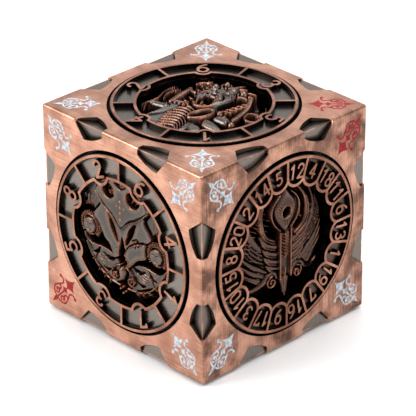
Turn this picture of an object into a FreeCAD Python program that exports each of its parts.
import FreeCAD, Part
import math
import os
import Sketcher
from FreeCAD import Placement, Rotation, Vector

# Fidget cube: a die-cast housing with a round window in each face.  In every window a
# numbered dial turns on its own small ball bearing, and a red corner emblem points at a number.
# Origin at the cube's centre, +Z up, millimetres.  "Level" is a distance from the centre
# along a face's outward normal.

doc = FreeCAD.newDocument("FidgetCube")

# ---------------------------------------------------------------- sizes

DRIVING = {
    "cube_side": 40.0,            # across two opposite faces of the housing
    "edge_round": 0.6,            # fillet along the cube's edges
    "dial_proud": 0.4,            # each dial stands this far above its face
    "window_radius": 16.95,       # round window in each face
    "window_gap": 0.55,           # radial gap between a dial and its window
    "rim_width": 0.6,             # raised rim round a dial
    "rim_step_width": 0.22,       # small step inside the rim
    "rim_step_depth": 0.3,
    "rim_chamfer": 0.15,
    "track_depth": 0.85,          # number track, below the rim
    "ring_height": 2.35,          # number ring, top to underside of its track
    "wall_radius": 12.05,         # middle of the wall between track and medallion
    "wall_width": 0.5,
    "divider_width": 0.46,
    "medallion_recess": 4.2,      # medallion face below the dial's rim
    "medallion_plate": 0.9,
    "medallion_radius": 12.9,     # seat of the medallion in the back of the ring
    "skirt_wall": 0.6,            # ring wall round the medallion's seat
    "relief_height": 3.7,         # the cast picture, nearly up to the dial's rim
    "relief_gap": 0.3,            # between the picture and the wall's pockets
    "bearing_bore": 6.35,         # small inch-series ball bearing
    "bearing_outside": 12.7,
    "bearing_width": 4.762,
    "ball_diameter": 1.588,
    "race_wall": 0.95,
    "groove_play": 0.015,         # radial play of a ball in its grooves
    "cage_wall": 0.55,
    "cage_height": 2.4,
    "cage_play": 0.06,            # clearance of a ball in its cage pocket
    "hub_wall": 0.8,              # cup that holds the bearing's outer race
    "hub_gap": 0.45,              # radial gap round the cup
    "running_gap": 0.3,           # clearance below ring, plate, cup and above the screw head
    "shoulder_height": 0.4,       # seat of the inner race above the well's floor
    "screw_head_height": 0.65,
    "screw_head_radius": 4.0,
    "screw_radius": 1.5,
    "screw_length": 8.0,          # below the head
    "thread_room": 0.4,           # threaded hole beyond the screw's tip
    "post_drop": 0.15,            # the post's end below the bearing's face, so the screw clamps
    "hex_across": 2.5,
    "hex_depth": 0.45,
    "fit_gap": 0.02,              # radial clearance of a located fit
    "lozenge_start": 8.3,         # from the cube's corner, along the edge
    "lozenge_widest": 10.9,
    "lozenge_width": 3.2,         # inwards from the edge
    "lozenge_end": 15.6,
    "lozenge_end_width": 1.35,
    "lozenge_bow": 0.36,          # hollow of the long inner side
    "lozenge_ridge_depth": 0.3,
    "lozenge_wall_depth": 0.95,
    "emblem_start": 1.9,          # tip of the emblem from the corner, along the diagonal
    "emblem_length": 8.8,
    "emblem_depth": 0.4,
    "overrun": 1.0,               # cutting shapes reach this far past what they cut
    "overlap": 0.4,               # joined shapes run this far into each other
}

DERIVED = {
    "half_side": "=cube_side / 2",
    "dial_top": "=half_side + dial_proud",
    "dial_radius": "=window_radius - window_gap",
    "rim_inner": "=dial_radius - rim_width",
    "track_outer": "=rim_inner - rim_step_width",
    "track_floor": "=dial_top - track_depth",
    "ring_under": "=dial_top - ring_height",
    "window_floor": "=ring_under - running_gap",
    "medallion_top": "=dial_top - medallion_recess",
    "medallion_under": "=medallion_top - medallion_plate",
    "plate_radius": "=medallion_radius - fit_gap",
    "skirt_radius": "=medallion_radius + skirt_wall",
    "middle_radius": "=skirt_radius + running_gap",
    "middle_floor": "=medallion_under - running_gap",
    "head_top": "=medallion_under - running_gap",
    "bearing_top": "=head_top - screw_head_height",
    "bearing_bottom": "=bearing_top - bearing_width",
    "bearing_middle": "=bearing_top - bearing_width / 2",
    "bore_radius": "=bearing_bore / 2",
    "outside_radius": "=bearing_outside / 2",
    "inner_race_radius": "=bore_radius + race_wall",
    "outer_race_radius": "=outside_radius - race_wall",
    "pitch_radius": "=(inner_race_radius + outer_race_radius) / 2",
    "ball_radius": "=ball_diameter / 2",
    "groove_radius": "=ball_radius + groove_play",
    "cage_inner": "=pitch_radius - cage_wall / 2",
    "cage_outer": "=pitch_radius + cage_wall / 2",
    "post_radius": "=bore_radius - fit_gap",
    "post_top": "=bearing_top - post_drop",
    "cup_bore": "=outside_radius + fit_gap",
    "cup_radius": "=outside_radius + hub_wall",
    "cup_bottom": "=bearing_bottom + running_gap",
    "cup_relief_radius": "=outer_race_radius",
    "well_radius": "=cup_radius + hub_gap",
    "well_floor": "=bearing_bottom - shoulder_height",
    "screw_tip": "=bearing_top - screw_length",
    "thread_radius": "=screw_radius + fit_gap",
    "thread_bottom": "=screw_tip - thread_room",
    "wall_inner": "=wall_radius - wall_width / 2",
    "wall_outer": "=wall_radius + wall_width / 2",
    "chamfer_level": "=dial_top - rim_chamfer",
    "chamfer_radius": "=dial_radius - rim_chamfer",
    "step_level": "=dial_top - rim_step_depth",
    "above": "=dial_top + overrun",
}

# Each dial: the numbers counter-clockwise from the first one's angle (degrees from the
# face's right), then the digits' height, line width and squeeze, and the rounded pocket that
# the wall makes round each number: its radius and how far it dips in from the wall.
DIALS = {
    "d8": {"first": 22.5, "numbers": [4, 6, 2, 8, 5, 3, 7, 1],
           "digit": 3.4, "line": 0.48, "squeeze": 1.0, "base": 12.0, "pocket": 2.1, "dip": 1.15},
    "d20": {"first": 99.0, "numbers": [5, 14, 2, 20, 8, 15, 10, 3, 17, 9, 16, 7, 19, 1, 13,
                                       6, 11, 18, 4, 12],
            "digit": 2.85, "line": 0.38, "squeeze": 0.86, "base": 12.15, "pocket": 2.26,
            "dip": 1.05},
    "d6": {"first": 17.0, "numbers": [5, 3, 6, 2, 4, 1],
           "digit": 3.4, "line": 0.48, "squeeze": 1.0, "base": 12.0, "pocket": 1.5, "dip": 0.85},
    "d12": {"first": 15.0, "numbers": [12, 2, 9, 5, 10, 1, 11, 3, 8, 6, 7, 4],
            "digit": 3.1, "line": 0.44, "squeeze": 0.9, "base": 12.1, "pocket": 2.1, "dip": 1.0},
    "d10": {"first": 9.0, "numbers": [10, 3, 8, 1, 6, 9, 4, 7, 2, 5],
            "digit": 3.2, "line": 0.45, "squeeze": 1.0, "base": 12.1, "pocket": 2.1, "dip": 1.05},
    "d4": {"first": 45.0, "numbers": [4, 1, 3, 2],
           "digit": 3.4, "line": 0.48, "squeeze": 1.0, "base": 12.0, "pocket": 1.5, "dip": 0.85},
}
BALLS = 10

# Each face: its dial and the directions of its right, its top and its outward normal.
FACES = {
    "d8": (Vector(1, 0, 0), Vector(0, 0, 1), Vector(0, -1, 0)),
    "d20": (Vector(0, 1, 0), Vector(0, 0, 1), Vector(1, 0, 0)),
    "d6": (Vector(1, 0, 0), Vector(0, 1, 0), Vector(0, 0, 1)),
    "d12": (Vector(-1, 0, 0), Vector(0, 0, 1), Vector(0, 1, 0)),
    "d10": (Vector(0, -1, 0), Vector(0, 0, 1), Vector(-1, 0, 0)),
    "d4": (Vector(1, 0, 0), Vector(0, -1, 0), Vector(0, 0, -1)),
}

sheet = doc.addObject("Spreadsheet::Sheet", "Sizes")


def fill_sheet():
    """Write every size beside its name and give its cell that name as alias."""
    entries = {name: str(number) for name, number in DRIVING.items()}
    for dial, spec in DIALS.items():
        for key in ("digit", "line", "base", "pocket", "dip"):
            entries[f"{dial}_{key}"] = str(spec[key])
        entries[f"{dial}_pocket_place"] = f"=wall_radius - {dial}_dip + {dial}_pocket"
        entries[f"{dial}_pocket_wall"] = f"={dial}_pocket + wall_width / 2"
        entries[f"{dial}_pocket_room"] = f"={dial}_pocket - wall_width / 2"
    entries.update(DERIVED)
    for row, (name, text) in enumerate(entries.items(), start=1):
        sheet.set(f"A{row}", name)
        sheet.setAlias(f"B{row}", name)
        if not text.startswith("="):
            sheet.set(f"B{row}", text)
    doc.recompute()
    for row, text in enumerate(entries.values(), start=1):
        if text.startswith("="):
            sheet.set(f"B{row}", text)
    doc.recompute()


def size(name):
    """The number in the cell with this alias."""
    return float(sheet.get(name))


def face_placement(face):
    right, top, normal = FACES[face]
    return Placement(Vector(0, 0, 0), Rotation(right, top, normal, "XYZ"))


# ---------------------------------------------------------------- turned and padded bodies

def origin_item(body, role):
    return next(item for item in body.Origin.OriginFeatures if item.Role == role)


def new_sketch(body, name, role):
    sketch = body.newObject("Sketcher::SketchObject", name)
    sketch.AttachmentSupport = [(origin_item(body, role), "")]
    sketch.MapMode = "FlatFace"
    return sketch


def bind(sketch, kind, item, point, name):
    """Hold one coordinate of a sketch point to a named size."""
    index = sketch.addConstraint(Sketcher.Constraint(kind, -1, 1, item, point, size(name)))
    sketch.setExpression(f"Constraints[{index}]", f"Sizes.{name}")


def turned_body(label, outline):
    """A body of revolution: outline lists (radius name, level name), radius None on the axis."""
    body = doc.addObject("PartDesign::Body", f"{label}_body")
    sketch = new_sketch(body, f"{label}_profile", "XZ_Plane")
    corners = [Vector(size(radius) if radius else 0, size(level), 0) for radius, level in outline]
    count = len(corners)
    for index, corner in enumerate(corners):
        sketch.addGeometry(Part.LineSegment(corner, corners[(index + 1) % count]))
    for index in range(count):
        sketch.addConstraint(
            Sketcher.Constraint("Coincident", index, 2, (index + 1) % count, 1))
    for index, (radius, level) in enumerate(outline):
        if radius:
            bind(sketch, "DistanceX", index, 1, radius)
        else:
            sketch.addConstraint(Sketcher.Constraint("PointOnObject", index, 1, -2))
        bind(sketch, "DistanceY", index, 1, level)
    turned = body.newObject("PartDesign::Revolution", f"{label}_turned")
    turned.Profile = sketch
    turned.ReferenceAxis = (sketch, ["V_Axis"])
    turned.Angle = 360
    sketch.Visibility = False
    body.Tip = turned
    return body


def cut_ball_groove(body, label):
    """Turn the round groove that the balls run in."""
    sketch = new_sketch(body, f"{label}_groove_profile", "XZ_Plane")
    centre = Vector(size("pitch_radius"), size("bearing_middle"), 0)
    sketch.addGeometry(Part.Circle(centre, Vector(0, 0, 1), size("groove_radius")))
    bind(sketch, "DistanceX", 0, 3, "pitch_radius")
    bind(sketch, "DistanceY", 0, 3, "bearing_middle")
    index = sketch.addConstraint(Sketcher.Constraint("Radius", 0, size("groove_radius")))
    sketch.setExpression(f"Constraints[{index}]", "Sizes.groove_radius")
    groove = body.newObject("PartDesign::Groove", f"{label}_groove")
    groove.Profile = sketch
    groove.ReferenceAxis = (sketch, ["V_Axis"])
    groove.Angle = 360
    body.Tip = groove


def cylinder(name, radius, height, level=None):
    """A cylinder on the local axis, with sizes and level bound to the sheet."""
    item = doc.addObject("Part::Cylinder", name)
    item.setExpression("Radius", f"Sizes.{radius}")
    item.setExpression("Height", height)
    if level:
        item.setExpression("Placement.Base.z", level)
    return item


def joined(name, items):
    item = doc.addObject("Part::MultiFuse", name)
    item.Shapes = items
    return item


def cut(name, base, tool):
    item = doc.addObject("Part::Cut", name)
    item.Base = base
    item.Tool = tool
    return item


def feature(name, shape):
    item = doc.addObject("Part::Feature", name)
    item.Shape = shape
    return item


# ---------------------------------------------------------------- drawn lines

def round_end(point, width):
    return Part.Face(Part.Wire(Part.Circle(point, Vector(0, 0, 1), width / 2).toShape()))


def straight_line(start, end, width):
    """A flat strip with round ends."""
    side = (end - start).cross(Vector(0, 0, 1)).normalize() * (width / 2)
    strip = Part.makePolygon([start + side, end + side, end - side, start - side, start + side])
    return [Part.Face(strip), round_end(start, width), round_end(end, width)]


def curved_line(start, middle, end, width):
    """A flat band along the arc through three points, with round ends."""
    circle = Part.Arc(start, middle, end).toShape().Curve
    centre = circle.Center
    edges = []
    offsets = (width / 2, -width / 2)
    reached = []
    for offset in offsets:
        points = []
        for point in (start, middle, end):
            outward = (point - centre).normalize()
            points.append(centre + outward * (circle.Radius + offset))
        edges.append(Part.Arc(*points).toShape())
        reached.append(points)
    edges.append(Part.makeLine(reached[0][0], reached[1][0]))
    edges.append(Part.makeLine(reached[0][2], reached[1][2]))
    band = Part.Face(Part.Wire(Part.__sortEdges__(edges)))
    return [band, round_end(start, width), round_end(end, width)]


def drawn_faces(strokes, width, place):
    """Flat faces along strokes of two points (straight) or three (an arc)."""
    faces = []
    for stroke in strokes:
        points = [place(x, y) for x, y in stroke]
        maker = straight_line if len(points) == 2 else curved_line
        faces += maker(*points, width)
    return faces


def raised(faces, height):
    """Faces raised along +Z and joined."""
    solids = [face.extrude(Vector(0, 0, height)) for face in faces]
    return solids[0].fuse(solids[1:]).removeSplitter()


def placed(shape, placement):
    moved = shape.copy()
    moved.Placement = placement.multiply(moved.Placement)
    return moved


# Digits in a box 0.6 wide and 1 high, as the middle lines of their strokes.
DIGITS = {
    "0": [[(0, 0.7), (0.3, 1), (0.6, 0.7)], [(0.6, 0.7), (0.6, 0.3)],
          [(0.6, 0.3), (0.3, 0), (0, 0.3)], [(0, 0.3), (0, 0.7)]],
    "1": [[(0.36, 0), (0.36, 1)], [(0.36, 1), (0.14, 0.76)]],
    "2": [[(0.02, 0.74), (0.29, 1), (0.54, 0.57)], [(0.54, 0.57), (0.02, 0)],
          [(0.02, 0), (0.6, 0)]],
    "3": [[(0.05, 0.86), (0.55, 0.78), (0.28, 0.54)], [(0.28, 0.54), (0.57, 0.24), (0.03, 0.13)]],
    "4": [[(0.42, 1), (0, 0.3)], [(0, 0.3), (0.6, 0.3)], [(0.42, 1), (0.42, 0)]],
    "5": [[(0.54, 1), (0.12, 1)], [(0.12, 1), (0.08, 0.55)],
          [(0.08, 0.55), (0.59, 0.32), (0.04, 0.12)]],
    "6": [[(0, 0.3), (0.3, 0.6), (0.6, 0.3)], [(0.6, 0.3), (0.3, 0), (0, 0.3)],
          [(0, 0.3), (0.13, 0.75), (0.5, 1)]],
    "7": [[(0.02, 1), (0.58, 1)], [(0.58, 1), (0.2, 0)], [(0.02, 1), (0.02, 0.86)]],
    "8": [[(0.07, 0.76), (0.3, 1), (0.53, 0.76)], [(0.53, 0.76), (0.3, 0.53), (0.07, 0.76)],
          [(0.02, 0.27), (0.3, 0.53), (0.58, 0.27)], [(0.58, 0.27), (0.3, 0), (0.02, 0.27)]],
    "9": [[(0, 0.7), (0.3, 1), (0.6, 0.7)], [(0.6, 0.7), (0.3, 0.4), (0, 0.7)],
          [(0.6, 0.7), (0.47, 0.25), (0.1, 0)]],
}
DIGIT_WIDTH = 0.6
DIGIT_SPACING = 1.75      # between the digits of one number, in line widths


def number_shapes(face, number):
    """The digits of one number, upright and centred on the local Y axis."""
    line = size(f"{face}_line")
    tall = size(f"{face}_digit") - line
    wide = tall * DIALS[face]["squeeze"]
    pitch = DIGIT_WIDTH * wide + line * DIGIT_SPACING
    text = str(number)
    shapes = []
    for place, digit in enumerate(text):
        start = (place - len(text) / 2) * pitch + (pitch - DIGIT_WIDTH * wide) / 2
        flat = drawn_faces(DIGITS[digit], line, lambda x, y: Vector(
            start + x * wide, size(f"{face}_base") + line / 2 + y * tall, 0))
        shapes.append(raised(flat, size("track_depth") + 2 * size("overrun")))
    return shapes


# ---------------------------------------------------------------- number rings

def number_ring(face):
    """The dial's ring: rim, sunken track, raised numbers and dividers, scalloped inner wall."""
    spec = DIALS[face]
    count = len(spec["numbers"])
    step = 360 / count
    height = "Sizes.track_depth + Sizes.overrun"
    floor = "Sizes.track_floor"

    blank = turned_body(f"{face}_blank", [
        (None, "medallion_under"), ("skirt_radius", "medallion_under"),
        ("skirt_radius", "ring_under"), ("dial_radius", "ring_under"),
        ("dial_radius", "chamfer_level"),
        ("chamfer_radius", "dial_top"), (None, "dial_top")])
    seat = cylinder(f"{face}_seat", "medallion_radius",
                    "Sizes.medallion_plate + Sizes.overrun",
                    "Sizes.medallion_under - Sizes.overrun")

    def pockets(kind, radius, tall, level):
        """One upright cylinder at each number."""
        items = []
        for index in range(count):
            angle = math.radians(spec["first"] + index * step)
            item = cylinder(f"{face}_{kind}_{index}", radius, tall, level)
            place = f"Sizes.{face}_pocket_place"
            item.setExpression("Placement.Base.x", f"{place} * {math.cos(angle):.9f}")
            item.setExpression("Placement.Base.y", f"{place} * {math.sin(angle):.9f}")
            items.append(item)
        return items

    through = "Sizes.medallion_recess + Sizes.medallion_plate + 2 * Sizes.overrun"
    below = "Sizes.medallion_under - Sizes.overrun"
    opening = cut(f"{face}_opening", cylinder(f"{face}_hole", "wall_inner", through, below),
                  joined(f"{face}_pocket_walls",
                         pockets("pocket_wall", f"{face}_pocket_wall", through, below)))
    annulus = cut(f"{face}_annulus", cylinder(f"{face}_track", "track_outer", height, floor),
                  cylinder(f"{face}_wall", "wall_outer", height, floor))
    step_cut = cylinder(f"{face}_rim_step", "rim_inner", height, "Sizes.step_level")
    step_keep = cylinder(f"{face}_step_keep", "wall_outer", height, "Sizes.step_level")
    track = joined(f"{face}_track_room", [annulus, cut(f"{face}_step", step_cut, step_keep)]
                   + pockets("pocket_room", f"{face}_pocket_room", height, floor))

    kept = []
    for index in range(count):
        divider = doc.addObject("Part::Box", f"{face}_divider_{index}")
        divider.setExpression("Length", "Sizes.rim_inner - Sizes.wall_radius + Sizes.overlap")
        divider.setExpression("Width", "Sizes.divider_width")
        divider.setExpression("Height", "Sizes.track_depth + 2 * Sizes.overrun")
        turn = spec["first"] + (index + 0.5) * step
        angle = math.radians(turn)
        divider.Placement = Placement(Vector(0, 0, 0), Rotation(Vector(0, 0, 1), turn))
        divider.setExpression("Placement.Base.x", f"Sizes.wall_radius * {math.cos(angle):.9f}"
                              f" + Sizes.divider_width / 2 * {math.sin(angle):.9f}")
        divider.setExpression("Placement.Base.y", f"Sizes.wall_radius * {math.sin(angle):.9f}"
                              f" - Sizes.divider_width / 2 * {math.cos(angle):.9f}")
        divider.setExpression("Placement.Base.z", "Sizes.track_floor - Sizes.overlap")
        kept.append(divider)
    numbers = []
    for index, number in enumerate(spec["numbers"]):
        turn = Placement(Vector(0, 0, size("track_floor") - size("overlap")),
                         Rotation(Vector(0, 0, 1), spec["first"] + index * step - 90))
        numbers += [placed(digit, turn) for digit in number_shapes(face, number)]
    kept.append(feature(f"{face}_numbers", Part.makeCompound(numbers)))
    room = cut(f"{face}_room", track, joined(f"{face}_kept", kept))

    ring = cut(f"{face}_ring", blank, joined(f"{face}_cuts", [seat, opening, room]))
    ring.Label = f"number_ring_{face}"
    ring.Placement = face_placement(face)
    return ring


# ---------------------------------------------------------------- medallions

# Plain raised patterns, in shares of the opening's radius: strokes of two or three points.
def mirrored(strokes, across=-1, along=1):
    """The strokes and their mirror image, by default left to right."""
    return strokes + [[(across * x, along * y) for x, y in stroke] for stroke in strokes]


def around(strokes, count):
    turned = []
    for index in range(count):
        angle = 2 * math.pi * index / count
        cosine, sine = math.cos(angle), math.sin(angle)
        turned += [[(x * cosine - y * sine, x * sine + y * cosine) for x, y in stroke]
                   for stroke in strokes]
    return turned


RELIEFS = {
    "d8": mirrored([[(0, 0.8), (0.42, 0.84), (0.6, 0.6)], [(0.6, 0.6), (0.35, 0.2), (0.45, -0.15)],
                    [(0.45, -0.15), (0.3, -0.5), (0, -0.7)], [(0.75, 0), (0.75, -0.2)]]),
    "d20": mirrored([[(0, 0.8), (0.3, 0.5), (0.1, 0.2)], [(0.1, 0.2), (0.1, -0.6)],
                     [(0.1, -0.3), (0.5, 0), (0.6, 0.5)], [(0.1, -0.5), (0.6, -0.3), (0.8, 0.2)]]),
    "d6": around([[(0.1, 0.15), (0.35, 0.4), (0.3, 0.75)]], 5),
    "d12": around([[(0, 0.2), (0.12, 0.5), (0, 0.8)], [(0, 0.2), (-0.12, 0.5), (0, 0.8)]], 6),
    "d10": around([[(0, 0.25), (0, 0.8)]], 10),
    "d4": around([[(0, 0.15), (0.25, 0.45), (0, 0.8)], [(0, 0.15), (-0.25, 0.45), (0, 0.8)]], 4),
}
RELIEF_LINE = 0.13


def medallion(face):
    """The dial's picture plate, with the cup behind it that holds the bearing."""
    plate = turned_body(f"{face}_plate", [
        (None, "medallion_under"), (None, "medallion_top"), ("plate_radius", "medallion_top"),
        ("plate_radius", "medallion_under"), ("cup_radius", "medallion_under"),
        ("cup_radius", "cup_bottom"), ("cup_bore", "cup_bottom"), ("cup_bore", "bearing_top"),
        ("cup_relief_radius", "bearing_top"), ("cup_relief_radius", "medallion_under")])
    reach = size("wall_inner") - size(f"{face}_dip") - size("relief_gap")
    sunk = size("overlap")
    flat = drawn_faces(RELIEFS[face], RELIEF_LINE * reach, lambda x, y: Vector(
        x * reach, y * reach, size("medallion_top") - sunk))
    relief = feature(f"{face}_relief", raised(flat, size("relief_height") + sunk))
    item = joined(f"{face}_medallion", [plate, relief])
    item.Label = f"medallion_{face}"
    item.Placement = face_placement(face)
    return item


# ---------------------------------------------------------------- bearings and screws

def outer_race(face):
    body = turned_body(f"{face}_outer_race", [
        ("outer_race_radius", "bearing_bottom"), ("outside_radius", "bearing_bottom"),
        ("outside_radius", "bearing_top"), ("outer_race_radius", "bearing_top")])
    cut_ball_groove(body, f"{face}_outer_race")
    body.Label = f"bearing_outer_race_{face}"
    body.Placement = face_placement(face)
    return body


def inner_race(face):
    body = turned_body(f"{face}_inner_race", [
        ("bore_radius", "bearing_bottom"), ("inner_race_radius", "bearing_bottom"),
        ("inner_race_radius", "bearing_top"), ("bore_radius", "bearing_top")])
    cut_ball_groove(body, f"{face}_inner_race")
    body.Label = f"bearing_inner_race_{face}"
    body.Placement = face_placement(face)
    return body


def bearing_balls(face):
    """The bearing's balls, one solid each, on their pitch circle."""
    balls = []
    for index in range(BALLS):
        angle = 2 * math.pi * index / BALLS
        ball = doc.addObject("Part::Sphere", f"{face}_ball_{index}")
        ball.setExpression("Radius", "Sizes.ball_radius")
        ball.setExpression("Placement.Base.x", f"Sizes.pitch_radius * {math.cos(angle):.9f}")
        ball.setExpression("Placement.Base.y", f"Sizes.pitch_radius * {math.sin(angle):.9f}")
        ball.setExpression("Placement.Base.z", "Sizes.bearing_middle")
        balls.append(ball)
    group = doc.addObject("Part::Compound", f"{face}_balls")
    group.Links = balls
    group.Label = f"bearing_balls_{face}"
    group.Placement = face_placement(face)
    return group


def bearing_cage(face):
    """The thin ring that keeps the balls apart, one round pocket to each ball."""
    low = "Sizes.bearing_middle - Sizes.cage_height / 2"
    ring = cut(f"{face}_cage_ring", cylinder(f"{face}_cage_out", "cage_outer",
                                             "Sizes.cage_height", low),
               cylinder(f"{face}_cage_in", "cage_inner", "Sizes.cage_height", low))
    drills = []
    for index in range(BALLS):
        drill = doc.addObject("Part::Cylinder", f"{face}_cage_drill_{index}")
        drill.setExpression("Radius", "Sizes.ball_radius + Sizes.cage_play")
        drill.setExpression("Height", "Sizes.outside_radius")
        turn = Rotation(Vector(0, 0, 1), 360 * index / BALLS)
        drill.Placement = Placement(Vector(0, 0, 0), turn * Rotation(Vector(0, 1, 0), 90))
        drill.setExpression("Placement.Base.z", "Sizes.bearing_middle")
        drills.append(drill)
    cage = cut(f"{face}_cage", ring, joined(f"{face}_cage_drills", drills))
    cage.Label = f"bearing_cage_{face}"
    cage.Placement = face_placement(face)
    return cage


def axle_screw(face):
    """The low-head screw that clamps the inner race to the housing's post."""
    shank = turned_body(f"{face}_screw", [
        (None, "screw_tip"), ("screw_radius", "screw_tip"), ("screw_radius", "bearing_top"),
        ("screw_head_radius", "bearing_top"), ("screw_head_radius", "head_top"),
        (None, "head_top")])
    socket = doc.addObject("Part::Prism", f"{face}_hex")
    socket.Polygon = 6
    socket.setExpression("Circumradius", f"Sizes.hex_across / {math.sqrt(3):.9f}")
    socket.setExpression("Height", "Sizes.hex_depth + Sizes.overrun")
    socket.setExpression("Placement.Base.z", "Sizes.head_top - Sizes.hex_depth")
    screw = cut(f"{face}_screw_cut", shank, socket)
    screw.Label = f"axle_screw_{face}"
    screw.Placement = face_placement(face)
    return screw


# ---------------------------------------------------------------- housing

LOZENGE_PAST_EDGE = 0.1   # so that the two halves of a recess meet over the rounded edge


def lozenge_half(flip):
    """Recess beside one edge, on one face: corner at the origin, edge along X, inwards along Y.
    Its floor slopes down from the edge."""
    edge = -size("edge_round") - LOZENGE_PAST_EDGE
    sign = -1 if flip else 1

    def at(x, y):
        return Vector(sign * (x - size("half_side")), y, 0)

    start = at(size("lozenge_start"), 0)
    widest = at(size("lozenge_widest"), size("lozenge_width"))
    end = at(size("lozenge_end"), size("lozenge_end_width"))
    middle = (widest + end) * 0.5
    inward = (widest - end).cross(Vector(0, 0, sign)).normalize()
    bowed = middle + inward * size("lozenge_bow")
    edges = [Part.makeLine(at(size("lozenge_start"), edge), start), Part.makeLine(start, widest),
             Part.Arc(widest, bowed, end).toShape(),
             Part.makeLine(end, at(size("lozenge_end"), edge)),
             Part.makeLine(at(size("lozenge_end"), edge), at(size("lozenge_start"), edge))]
    reach = size("lozenge_width")
    prism = Part.Face(Part.Wire(edges)).extrude(Vector(0, 0, reach + size("overrun")))
    prism.translate(Vector(0, 0, -reach))

    ridge = size("lozenge_ridge_depth")
    slope = (size("lozenge_wall_depth") - ridge) / size("lozenge_width")
    far = size("lozenge_width") + size("overrun")
    clear = 2 * size("overrun")
    length = size("half_side")
    side = [Vector(-length, edge, -ridge - slope * edge), Vector(-length, far, -ridge - slope * far),
            Vector(-length, far, clear), Vector(-length, edge, clear)]
    slab = Part.Face(Part.makePolygon(side + side[:1])).extrude(Vector(2 * length, 0, 0))
    half = prism.common(slab)
    half.translate(Vector(0, -size("half_side"), size("half_side")))
    return half


def lozenges():
    """Two recesses on each of the twelve edges, each wrapped over its edge."""
    halves = []
    for face in FACES:
        for quarter in range(4):
            turn = face_placement(face).multiply(
                Placement(Vector(0, 0, 0), Rotation(Vector(0, 0, 1), 90 * quarter)))
            for flip in (False, True):
                halves.append(placed(lozenge_half(flip), turn))
    whole = []
    while halves:
        first = halves.pop()
        partner = max(halves, key=lambda other: first.common(other).Volume)
        halves.remove(partner)
        whole.append(first.fuse(partner))
    return Part.makeCompound(whole)


# The corner emblem lies on the diagonal: X runs from the cube's corner towards the dial and
# Y across it, in millimetres for an emblem 8.8 long.
EMBLEM_LENGTH = 8.8
EMBLEM_SCROLL = [
    [(1.95, 0.05), (2.25, 1.35), (3.2, 1.95)], [(3.2, 1.95), (4.15, 1.7), (4.9, 1.4)],
    [(4.9, 1.4), (5.9, 1.45), (6.1, 2.3)], [(2.5, 0.95), (3.15, 0.5), (3.5, 1.0)],
    [(3.5, 1.0), (3.3, 1.32), (3.0, 1.15)], [(4.3, 1.55), (4.35, 0.95), (3.95, 0.75)],
]
EMBLEM_STEM = [[(1.4, 0), (4.9, 0)]]
EMBLEM_LINE = 0.36
EMBLEM_BEADS = [(6.0, 2.55, 0.34), (3.85, 0.8, 0.26), (3.1, 1.1, 0.24)]
# Pointed pieces: four tips and how far each side is drawn in towards the middle.
EMBLEM_POINTS = [
    ([(0, 0), (1.5, 0.46), (2.15, 0), (1.5, -0.46)], 0.0),
    ([(4.1, 0), (4.95, 0.85), (5.75, 0), (4.95, -0.85)], 0.16),
    ([(5.45, 0), (6.5, 1.85), (8.8, 0), (6.5, -1.85)], 0.3),
]


def hollow_sided(tips, draw, place):
    """A four-pointed face whose sides are arcs drawn in towards its middle."""
    centre = Vector(sum(x for x, y in tips) / 4, sum(y for x, y in tips) / 4, 0)
    edges = []
    for index, (x, y) in enumerate(tips):
        after = Vector(*tips[(index + 1) % 4], 0)
        start = Vector(x, y, 0)
        middle = (start + after) * 0.5
        middle = middle + (centre - middle) * draw
        ends = (place(start.x, start.y), place(after.x, after.y))
        if draw:
            edges.append(Part.Arc(ends[0], place(middle.x, middle.y), ends[1]).toShape())
        else:
            edges.append(Part.makeLine(*ends))
    return Part.Face(Part.Wire(edges))


def emblem():
    """One emblem's inlay, in the lower left corner of a face that looks up."""
    scale = size("emblem_length") / EMBLEM_LENGTH
    corner = -size("half_side")
    root = math.sqrt(0.5)

    def place(along, across):
        along = size("emblem_start") + along * scale
        across = across * scale
        return Vector(corner + (along + across) * root, corner + (along - across) * root, 0)

    line = EMBLEM_LINE * scale
    faces = drawn_faces(mirrored(EMBLEM_SCROLL, 1, -1) + EMBLEM_STEM, line, place)
    faces += [hollow_sided(tips, draw, place) for tips, draw in EMBLEM_POINTS]
    for along, across, radius in EMBLEM_BEADS:
        for side in (1, -1):
            faces.append(round_end(place(along, side * across), 2 * radius * scale))
    inlay = raised(faces, size("emblem_depth"))
    inlay.translate(Vector(0, 0, size("half_side") - size("emblem_depth")))
    return inlay


def emblems(inlay, wanted):
    """The inlays in the corners that "wanted" picks."""
    solids = []
    for face in FACES:
        for quarter in range(4):
            if not wanted(face, quarter):
                continue
            turn = face_placement(face).multiply(
                Placement(Vector(0, 0, 0), Rotation(Vector(0, 0, 1), 90 * quarter)))
            solids.append(placed(inlay, turn))
    return Part.makeCompound(solids)


# The pointer emblem's corner on each face, in quarter turns from the lower left.
POINTERS = {"d8": 0, "d20": 2, "d6": 2, "d12": 2, "d10": 2, "d4": 2}


def window_tool(face):
    """The stepped round space in one face, round a post that carries the bearing."""
    tool = turned_body(f"{face}_window", [
        (None, "thread_bottom"), ("thread_radius", "thread_bottom"), ("thread_radius", "post_top"),
        ("post_radius", "post_top"), ("post_radius", "bearing_bottom"),
        ("inner_race_radius", "bearing_bottom"), ("inner_race_radius", "well_floor"),
        ("well_radius", "well_floor"), ("well_radius", "middle_floor"),
        ("middle_radius", "middle_floor"), ("middle_radius", "window_floor"),
        ("window_radius", "window_floor"), ("window_radius", "above"), (None, "above")])
    tool.Placement = face_placement(face)
    return tool


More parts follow.
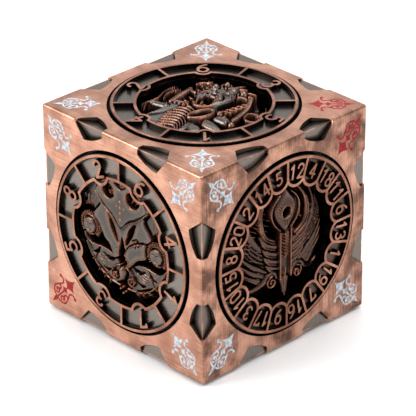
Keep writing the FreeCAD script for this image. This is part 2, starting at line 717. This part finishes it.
def housing(inlays):
    """The die-cast cube with its windows, edge recesses and engraved corners."""
    body = doc.addObject("PartDesign::Body", "housing_block")
    sketch = new_sketch(body, "housing_square", "XY_Plane")
    half = size("half_side")
    corners = [Vector(x * half, y * half, 0) for x, y in ((-1, -1), (1, -1), (1, 1), (-1, 1))]
    for index in range(4):
        sketch.addGeometry(Part.LineSegment(corners[index], corners[(index + 1) % 4]))
    for index in range(4):
        sketch.addConstraint(Sketcher.Constraint("Coincident", index, 2, (index + 1) % 4, 1))
        sketch.addConstraint(
            Sketcher.Constraint("Horizontal" if index % 2 == 0 else "Vertical", index))
    sketch.addConstraint(Sketcher.Constraint("Symmetric", 0, 1, 1, 2, -1, 1))
    for index in (0, 1):
        kind = "DistanceX" if index == 0 else "DistanceY"
        number = sketch.addConstraint(
            Sketcher.Constraint(kind, index, 1, index, 2, size("cube_side")))
        sketch.setExpression(f"Constraints[{number}]", "Sizes.cube_side")
    pad = body.newObject("PartDesign::Pad", "housing_pad")
    pad.Profile = sketch
    pad.setExpression("Length", "Sizes.cube_side")
    pad.Midplane = True
    doc.recompute()
    rounded = body.newObject("PartDesign::Fillet", "housing_edges")
    rounded.Base = (pad, [f"Edge{number}" for number in range(1, 13)])
    rounded.setExpression("Radius", "Sizes.edge_round")
    body.Tip = rounded

    tools = doc.addObject("Part::Compound", "housing_spaces")
    tools.Links = [window_tool(face) for face in FACES] + [
        feature("edge_lozenges", lozenges())] + inlays
    item = cut("housing_cut", body, tools)
    item.Label = "housing"
    return item


# ---------------------------------------------------------------- the whole cube

fill_sheet()

inlay = emblem()
white = feature("white_inlay", emblems(inlay, lambda face, corner: corner != POINTERS[face]))
red = feature("red_inlay", emblems(inlay, lambda face, corner: corner == POINTERS[face]))
white.Label = "corner_emblems_white"
red.Label = "pointer_emblems_red"

pieces = [housing([white, red]), white, red]
for face in FACES:
    pieces += [number_ring(face), medallion(face), outer_race(face), inner_race(face),
               bearing_balls(face), bearing_cage(face), axle_screw(face)]
doc.recompute()

failed = [item.Label for item in doc.Objects if set(item.State) & {"Invalid", "Error"}]
if failed:
    raise RuntimeError(f"objects that failed: {failed}")
os.makedirs("parts", exist_ok=True)
for piece in pieces:
    if piece.Shape.isNull() or not piece.Shape.isValid():
        raise RuntimeError(f"{piece.Label} has no valid shape")
    piece.Shape.exportStep(f"parts/{piece.Label}.step")
    print(f"{piece.Label}: {len(piece.Shape.Solids)} solid(s), {piece.Shape.Volume:.1f} mm3")
